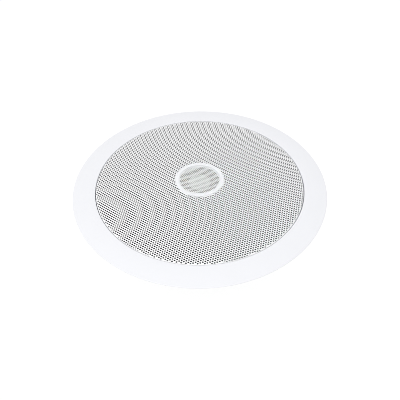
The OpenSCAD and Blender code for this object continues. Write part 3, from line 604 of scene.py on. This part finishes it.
def perforated(pitch, radius, turn, hole_limits, edges, edge_steps):
    """A flat perforated ring or disc. Returns its mesh and the edges round its holes.

    The holes' centres lie between the two limits, and the sheet between the two edges.
    An edge of 0 stands for no edge on that side.
    """
    bm = cell_field(pitch, radius, turn, hole_limits, edges[1])
    longest_at_hole = 0.9 * pitch / math.sqrt(3)
    holes, field_border = [], []
    for edge in bm.edges:
        if edge.is_boundary:
            (holes if edge.calc_length() < longest_at_hole else field_border).append(edge)
    keep_between(bm, edges)
    half_way = sum(edges) / 2
    for limit, steps in zip(edges, edge_steps):
        if limit > 0:
            circle = bmesh.ops.create_circle(bm, segments=steps, radius=limit)["verts"]
            rim = {edge for vert in circle for edge in vert.link_edges}
            outside = limit > half_way
            rim |= {edge for edge in field_border
                    if (edge.verts[0].co.length > half_way) == outside}
            bmesh.ops.triangle_fill(bm, edges=list(rim), use_beauty=True, normal=(0, 0, 1))
    bmesh.ops.recalc_face_normals(bm, faces=bm.faces)
    if sum(face.normal.z for face in bm.faces) < 0:
        bmesh.ops.reverse_faces(bm, faces=bm.faces)
    return bm, holes


def sheet_z(r, depth=0.0):
    """Height of the grille's sheet at radius r, at a depth below its outside."""
    if r > dome_edge_r:
        bend = max(0.0, (edge_roll - depth) ** 2 - (r - dome_edge_r) ** 2)
        return roll_z + math.sqrt(bend)
    return dome_centre_z + math.sqrt((dome_r - depth) ** 2 - r * r)


def join(bm, other):
    """Adds another mesh and welds it on where their borders meet."""
    carrier = bpy.data.meshes.new("carrier")
    other.to_mesh(carrier)
    other.free()
    bm.from_mesh(carrier)
    bpy.data.meshes.remove(carrier)
    border = [vert for vert in bm.verts if vert.is_boundary]
    bmesh.ops.remove_doubles(bm, verts=border, dist=seam)


def face_outwards(bm):
    """Turns the normals of a spun band away from the Z axis."""
    bmesh.ops.recalc_face_normals(bm, faces=bm.faces)
    widest = max(bm.faces, key=lambda face: face.normal.xy.length)
    if widest.normal.xy.dot(widest.calc_center_median().xy) < 0:
        bmesh.ops.reverse_faces(bm, faces=bm.faces)


def grille_shell(name, depth):
    """One side of the grille's sheet: the perforated dome, its rolled edge and its skirt.

    The outer side, at a depth of 0, has the walls of the holes and the skirt's lower edge.
    """
    bend = edge_roll - depth
    turned_r = dome_edge_r + bend * math.cos(rolled_from)
    bm, holes = perforated(
        hole_pitch, hole_r, hole_rows_angle, (first_hole_r, outer_hole_r),
        (ring_r - under_ring, turned_r), (under_ring_steps, rim_steps))
    for vert in bm.verts:
        vert.co.z = sheet_z(vert.co.xy.length, depth)
    if depth == 0:
        walls = bmesh.ops.extrude_edge_only(bm, edges=holes)
        bmesh.ops.translate(bm, verts=verts_in(walls["geom"]), vec=(0, 0, -sheet_t))
    outline = arc(dome_edge_r, roll_z, bend, math.degrees(rolled_from), 0, 4)
    outline.append((grille_r - depth, groove_z))
    if depth == 0:
        outline.append((grille_r - sheet_t, groove_z))
    edge = bmesh.new()
    spun(edge, outline, closed=False)
    face_outwards(edge)
    join(bm, edge)
    if depth:
        bmesh.ops.reverse_faces(bm, faces=bm.faces)
    piece(name, bm, grille_white, ["grille"])


def tweeter_mesh():
    """The fine mesh in the centre ring, a little crowned."""
    edge_r = mesh_high.x
    bm = perforated(
        mesh_pitch, mesh_hole_r, mesh_turn, (-1, edge_r - mesh_border),
        (0, edge_r), (0, mesh_rim_steps))[0]
    bmesh.ops.solidify(bm, geom=bm.faces[:], thickness=mesh_t)
    bmesh.ops.recalc_face_normals(bm, faces=bm.faces)
    top_z = max(vert.co.z for vert in bm.verts)
    for vert in bm.verts:
        crown = mesh_crown * (1 - (vert.co.xy.length / edge_r) ** 2)
        vert.co.z += mesh_high.z - top_z + crown
    piece("tweeter_mesh_fine", bm, mesh_white, ["tweeter_mesh"])


def centre_ring():
    """The smooth raised ring round the tweeter's mesh."""
    spigot_in = 20.3 * MM
    spigot_r = 21.8 * MM
    bore_r = 19.3 * MM
    shoulder = mesh_high.z
    seat_r = 22 * MM        # the ring's foot is level with the sheet here
    seat_z = sheet_z(seat_r)
    round_r = 0.6 * MM
    outline = [(spigot_in, ring_low.z), (spigot_r, ring_low.z), (spigot_r, seat_z), (ring_r, seat_z)]
    outline += arc(ring_r - round_r, ring_high.z - round_r, round_r, 0, 90, 8)
    outline += arc(bore_r + round_r, ring_high.z - round_r, round_r, 90, 180, 8)
    outline += [(bore_r, shoulder), (spigot_in, shoulder)]
    bm = bmesh.new()
    spun(bm, outline, steps=160)
    bmesh.ops.recalc_face_normals(bm, faces=bm.faces)
    piece("centre_ring_smooth", bm, ring_white, ["centre_ring"])


# Construction parts with worked edges

def cad_copy(node):
    """A copy of a node's mesh, with its seams merged and its flat faces joined."""
    flat = math.radians(0.5)
    bm = bmesh.new()
    bm.from_mesh(frame["nodes"][node].data)
    bmesh.ops.transform(bm, matrix=frame["nodes"][node].matrix_world, verts=bm.verts)
    bmesh.ops.remove_doubles(bm, verts=bm.verts, dist=2 * weld)
    bmesh.ops.dissolve_limit(
        bm, angle_limit=flat, verts=bm.verts, edges=bm.edges, use_dissolve_boundaries=False)
    return bm


def worked(node, width):
    """A node with its sharp edges rounded by width."""
    made = piece(node + "_worked", cad_copy(node), NODE_FINISHES[node], [node], 30)
    rounding = made.modifiers.new("rounding", "BEVEL")
    rounding.width = width
    rounding.segments = 2
    rounding.limit_method = "ANGLE"
    rounding.angle_limit = math.radians(32)
    rounding.harden_normals = True


EDGE_WIDTHS = {         # in millimetres
    "mounting_frame": 0.2,
    "frame_barrel": 0.35,
    "woofer_well": 0.3,
    "frame_ribs": 0.3,
    "tweeter_bridge": 0.4,
    "bridge_screws": 0.12,
    "woofer_basket": 0.25,
    "basket_rim": 0.25,
    "woofer_screws": 0.12,
    "top_plate": 0.5,
    "tag_strip": 0.15,
    "crossover_bracket": 0.2,
    "bracket_screws": 0.12,
    "board_spacers": 0.15,
    "board_screws": 0.12,
    "inductor_bobbin": 0.25,
    "resistor": 0.5,
    "terminal_block": 0.4,
    "contact_springs": 0.08,
    "lever_red": 0.3,
    "lever_black": 0.3,
}
for number in CLAMPS:
    EDGE_WIDTHS[f"clamp_{number}"] = 0.5


def worked_nodes():
    for node, width in EDGE_WIDTHS.items():
        worked(node, width * MM)


def helix(bm, section, centre, axis, turns, pitch, steps):
    """Sweeps a closed section, a list of points, round an axis in a rising spiral.

    Each turn has so many steps. The two ends are closed.
    """
    verts = [bm.verts.new(point) for point in section]
    edges = [bm.edges.new(pair) for pair in zip(verts, verts[1:] + verts[:1])]
    bmesh.ops.spin(
        bm, geom=verts + edges, cent=centre, axis=axis, dvec=Vector(axis) * (pitch / steps),
        angle=ALL_ROUND * turns, steps=int(turns * steps), use_duplicate=False)
    bmesh.ops.holes_fill(bm, edges=[edge for edge in bm.edges if edge.is_boundary])


def clamp_screws():
    """Clamp screws with a thread on their shanks."""
    thread_pitch = 1.25 * MM
    ridge_width = 0.7 * thread_pitch
    shank_length = 26.2 * MM
    shank_r = 2.1 * MM
    shank_reach = 1.05 * shank_r
    core_share = 0.84
    ridge_foot_r = 0.98 * core_share * shank_r
    plain_start = 1.6 * MM
    plain_end = 5 * MM
    for number in CLAMPS:
        node = f"clamp_screw_{number}"
        low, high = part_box(node)
        middle = (low + high) / 2
        bm = cad_copy(node)
        shank = [v for v in bm.verts if v.co.z < low.z + shank_length]
        for vert in shank:
            away = Vector((vert.co.x - middle.x, vert.co.y - middle.y, 0))
            if away.length < shank_reach:
                vert.co -= away * (1 - core_share)
        start = low.z + plain_start
        ridge = [
            (middle.x + ridge_foot_r, middle.y, start),
            (middle.x + shank_r, middle.y, start + ridge_width / 2),
            (middle.x + ridge_foot_r, middle.y, start + ridge_width),
        ]
        turns = math.floor((high.z - plain_end - start) / thread_pitch)
        helix(bm, ridge, (middle.x, middle.y, 0), (0, 0, 1), turns, thread_pitch, steps=20)
        bmesh.ops.recalc_face_normals(bm, faces=bm.faces)
        piece(node + "_worked", bm, zinc, [node], 30)


def inductor_winding():
    """The inductor's turns of enamelled wire, over a core that stands for the lower layers."""
    low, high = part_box("inductor_winding")
    middle = (low + high) / 2
    outer_r = (high.x - low.x) / 2
    turns = math.floor((high.y - low.y) / (2 * coil_wire_r)) - 1
    sides = 8
    section = []
    for step in range(sides):
        turn = ALL_ROUND * step / sides
        section.append((
            middle.x + outer_r - coil_wire_r + coil_wire_r * math.cos(turn),
            low.y + coil_wire_r * (1 + math.sin(turn)), middle.z))
    bm = bmesh.new()
    helix(bm, section, middle, (0, 1, 0), turns, 2 * coil_wire_r, steps=36)
    bmesh.ops.recalc_face_normals(bm, faces=bm.faces)
    bobbin_low, bobbin_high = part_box("inductor_bobbin")
    tube_r = (bobbin_high.x - bobbin_low.x) / 4
    core_r = outer_r - coil_wire_r
    half = (high.y - low.y) / 2
    core = bmesh.new()
    spun(core, [(tube_r, -half), (core_r, -half), (core_r, half), (tube_r, half)], steps=64)
    bmesh.ops.recalc_face_normals(core, faces=core.faces)
    lay_down(core, middle, "X")
    join(bm, core)
    piece("inductor_turns", bm, inductor_wire, ["inductor_winding"], 40)


def lay_down(bm, place, axis):
    """Turns what was spun round Z by a right angle about X or Y and moves it to its place."""
    quarter = Matrix.Rotation(math.pi / 2, 4, axis)
    bmesh.ops.transform(bm, verts=bm.verts, matrix=Matrix.Translation(place) @ quarter)


def tube(bm, points, radius):
    """A round wire through points, bent smoothly between them."""
    curve = bpy.data.curves.new("wire", "CURVE")
    curve.dimensions = "3D"
    curve.bevel_depth = radius
    curve.bevel_resolution = 3
    curve.resolution_u = 5
    curve.use_fill_caps = True
    line = curve.splines.new("BEZIER")
    line.bezier_points.add(len(points) - 1)
    for bend, point in zip(line.bezier_points, points):
        bend.co = point
        bend.handle_left_type = bend.handle_right_type = "AUTO"
    holder = bpy.data.objects.new("wire", curve)
    wire = bpy.data.meshes.new_from_object(holder)
    bm.from_mesh(wire)
    bpy.data.meshes.remove(wire)
    bpy.data.objects.remove(holder)
    bpy.data.curves.remove(curve)


def wires(name, node, finish, route, radius):
    """A pair of wires along a route in millimetres and its mirror image."""
    bm = bmesh.new()
    for side in (1, -1):
        tube(bm, [(side * x * MM, y * MM, z * MM) for x, y, z in route], radius)
    bmesh.ops.remove_doubles(bm, verts=bm.verts, dist=weld)
    piece(name, bm, finish, [node], 50)


def leads():
    """The insulated leads and the tinsel, along the routes of the construction model."""
    tag_y = 42.4            # the tag strip's place, in millimetres like the routes
    wires("tweeter_wires", "tweeter_leads", jackets, [
        (1.2, 14, 2.7), (1.2, 24, 2.7), (1.2, 40, 2.7), (1.2, 56, 2.7), (1.2, 72, 2.7),
        (1.2, 86, 2.7), (1.2, 88.4, 2.6), (1.2, 90, 1.2), (1.2, 90.5, -1.4), (1.2, 90.5, -8),
        (1.2, 90.2, -13), (1.4, 88, -17), (1.7, 84, -19.4), (2, 80.9, -20),
        (2, 79.5, -20.8), (2, 79.5, -21.8)], lead_r)
    wires("woofer_wires", "woofer_leads", jackets, [
        (6, 79.5, -60.2), (6, 79.3, -62), (6, 77.4, -64.6), (6, 73, -66), (6, tag_y + 23.6, -65),
        (6, tag_y + 16.6, -60.5), (5.6, tag_y + 10.6, -54.5), (5.2, tag_y + 6.6, -49.5),
        (5, tag_y + 4, -46.4), (5, tag_y + 2.4, -44.6)], lead_r)
    wires("tinsel_wires", "tinsel_leads", tinsel, [
        (6, tag_y + 1.9, -42), (8, tag_y + 4.6, -42.2), (10.8, tag_y + 8, -41.6),
        (12.6, tag_y + 10.6, -39.4), (13.2, tag_y + 11.4, -37), (12.6, tag_y + 9.2, -34.9),
        (10.6, tag_y + 1.6, -34.2), (8.2, 35, -34.2), (5.6, 25, -34.4), (3.2, 16.4, -34.6),
        (2.6, 13.9, -34.6)], tinsel_r)


def capacitor_outline(radius, end):
    """Half of a capacitor's section: crimped at its lower end, rounded at the upper one."""
    crimp_r = 0.12 * radius
    groove_r = 0.35 * MM
    groove_up = 2.2 * MM
    shoulder_r = 0.8 * MM
    outline = [(0, -end), (0.8 * radius, -end)]
    outline += arc(radius - crimp_r, -end + crimp_r, crimp_r, -90, 0, 4)
    outline += arc(radius, -end + groove_up, groove_r, -90, -270, 6)
    outline += arc(radius - shoulder_r, end - shoulder_r, shoulder_r, 0, 90, 5)
    return outline + [(0, end)]


def capacitor_wire(bm, tip, side, away, board_y):
    """A wire that leaves a capacitor's end and bends down into the board."""
    out_x = tip.x + side * 0.9 * MM
    bend_x = out_x - side * 0.3 * MM
    tube(bm, [
        tip, (bend_x, tip.y, tip.z), (out_x, tip.y - away, tip.z),
        (out_x, board_y, tip.z), (out_x, board_y - into_board, tip.z)], wire_r)


def capacitors():
    """Two film capacitors with crimped ends, and their wires into the board."""
    low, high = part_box("capacitors")
    board_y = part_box("circuit_board")[1].y
    end = (high.x - low.x) / 2
    upper_r = 5.2 * MM
    lower_r = 4.2 * MM
    bodies = bmesh.new()
    feet = bmesh.new()
    for radius, z in ((upper_r, high.z - upper_r), (lower_r, low.z + lower_r)):
        middle = Vector((low.x + end, board_y + radius, z))
        body = bmesh.new()
        spun(body, capacitor_outline(radius, end), steps=48, closed=False)
        bmesh.ops.recalc_face_normals(body, faces=body.faces)
        lay_down(body, middle, "Y")
        join(bodies, body)
        for side in (-1, 1):
            tip = middle + Vector((side * end, 0, 0))
            capacitor_wire(feet, tip, side, 0.4 * radius, board_y)
    piece("capacitor_bodies", bodies, capacitor_sleeve, ["capacitors"], 40)
    piece("capacitor_wires", feet, nickel, ["capacitors"], 50)


def resistor_wires():
    """The resistor's two wires, bent from its upper end into the board."""
    low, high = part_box("resistor")
    middle = (low + high) / 2
    aside = 2.2 * MM
    bend_z = high.z + 0.8 * MM
    bm = bmesh.new()
    for x in (middle.x - aside, middle.x + aside):
        tube(bm, [
            (x, middle.y, high.z - 0.2 * MM),
            (x, middle.y - 0.3 * MM, bend_z - 0.1 * MM),
            (x, middle.y - 1.2 * MM, bend_z),
            (x, low.y, bend_z),
            (x, low.y - into_board, bend_z)], wire_r)
    piece("resistor_wires", bm, nickel, ["resistor"], 50)


def inductor_ends():
    """The two ends of the inductor's winding, led past its flange into the board."""
    low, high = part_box("inductor_winding")
    board_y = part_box("circuit_board")[1].y
    middle = (low + high) / 2
    start_r = (high.x - low.x) / 2 - 0.3 * MM
    route = (               # how far out from there, and the place along Y
        (0, low.y + 0.7 * MM),
        (1.5 * MM, low.y + 0.9 * MM),
        (2.0 * MM, board_y + 0.9 * MM),
        (2.1 * MM, board_y - into_board))
    bm = bmesh.new()
    for turn in (math.radians(178), math.radians(256)):
        points = []
        for away, y in route:
            r = start_r + away
            points.append((middle.x + r * math.cos(turn), y, middle.z + r * math.sin(turn)))
        tube(bm, points, coil_wire_r)
    piece("inductor_ends", bm, inductor_wire, ["inductor_winding"], 50)


def dressed_nodes():
    """Gives every CAD node that stays its finish."""
    for name, finish in NODE_FINISHES.items():
        materials = frame["nodes"][name].data.materials
        materials.clear()
        materials.append(finish.material)


# Camera, lights and floor

WHITE_LIGHT = (1, 1, 1, 1)


def aimed(name, data, place, target, roll=0.0):
    """A camera or lamp at a place, looking at its target."""
    made = new_object(name, data)
    turn = (target - place).to_track_quat("-Z", "Y").to_matrix().to_4x4()
    made.matrix_world = Matrix.Translation(place) @ turn @ Matrix.Rotation(roll, 4, "Z")
    return made


def camera():
    """The photograph's view, from the near side and above."""
    aside = 0.14 * MM
    away = 524.3 * MM
    over_grille = 494.2 * MM
    aim_short = 19.3 * MM
    roll = math.radians(-0.85)
    data = bpy.data.cameras.new("camera")
    data.lens = 68.6
    data.sensor_width = 36
    data.clip_start = 0.01
    place = Vector((aside, -away, grille_edge_z + over_grille))
    target = Vector((aside, -aim_short, grille_edge_z))
    bpy.context.scene.camera = aimed("camera", data, place, target, roll)


def key_lamp():
    """One soft lamp over the near side."""
    data = bpy.data.lights.new("key", "AREA")
    data.shape = "DISK"
    data.size = 0.9
    data.energy = 4.4
    aimed("key", data, Vector((-0.45, -0.9, 1.1)), Vector((0, 0, 0)))


def white_sky():
    """White from all sides, lighting a little less than it shows."""
    strength_as_light = 0.9
    strength_as_seen = 1.0
    world = bpy.data.worlds.new("world")
    bpy.context.scene.world = world
    graph = Graph(world)
    plain = graph.tree.nodes["Background"]
    graph.feed(plain, "Color", WHITE_LIGHT)
    graph.feed(plain, "Strength", strength_as_light)
    light = Value(graph.tree, plain.outputs[0])
    view = graph.node(
        "ShaderNodeBackground", {}, {"Color": WHITE_LIGHT, "Strength": strength_as_seen})
    by_camera = graph.node("ShaderNodeLightPath", {}, {}, "Is Camera Ray")
    by_gloss = graph.node("ShaderNodeLightPath", {}, {}, "Is Glossy Ray")
    graph.mixed(by_camera.larger(by_gloss), light, view, "World Output")


def white_floor():
    """A floor that glows for the camera, so that only a soft shadow shows on it."""
    glow_strength = 1.06
    glow_share = 0.9
    radius = 6.0
    clearance = 0.05 * MM
    finish = Finish("floor_white", (0.9, 0.9, 0.9), 0.9)
    glow = finish.node("ShaderNodeEmission", {}, {"Color": WHITE_LIGHT, "Strength": glow_strength})
    by_camera = finish.node("ShaderNodeLightPath", {}, {}, "Is Camera Ray")
    matt = Value(finish.tree, finish.shader.outputs[0])
    finish.mixed(by_camera * glow_share, matt, glow, "Material Output")
    bm = bmesh.new()
    bmesh.ops.create_circle(bm, cap_ends=True, segments=96, radius=radius)
    bmesh.ops.translate(bm, verts=bm.verts, vec=(0, 0, floor_z - clearance))
    mesh = bpy.data.meshes.new("floor")
    bm.to_mesh(mesh)
    bm.free()
    mesh.materials.append(finish.material)
    new_object("floor", mesh)


camera()
dressed_nodes()
worked_nodes()
clamp_screws()
inductor_winding()
inductor_ends()
leads()
capacitors()
resistor_wires()
grille_shell("grille_skin", 0.0)
grille_shell("grille_lining", sheet_t)
tweeter_mesh()
centre_ring()
key_lamp()
white_sky()
white_floor()

bpy.context.scene.view_settings.view_transform = "Standard"
bpy.context.scene.cycles.filter_width = 0.8
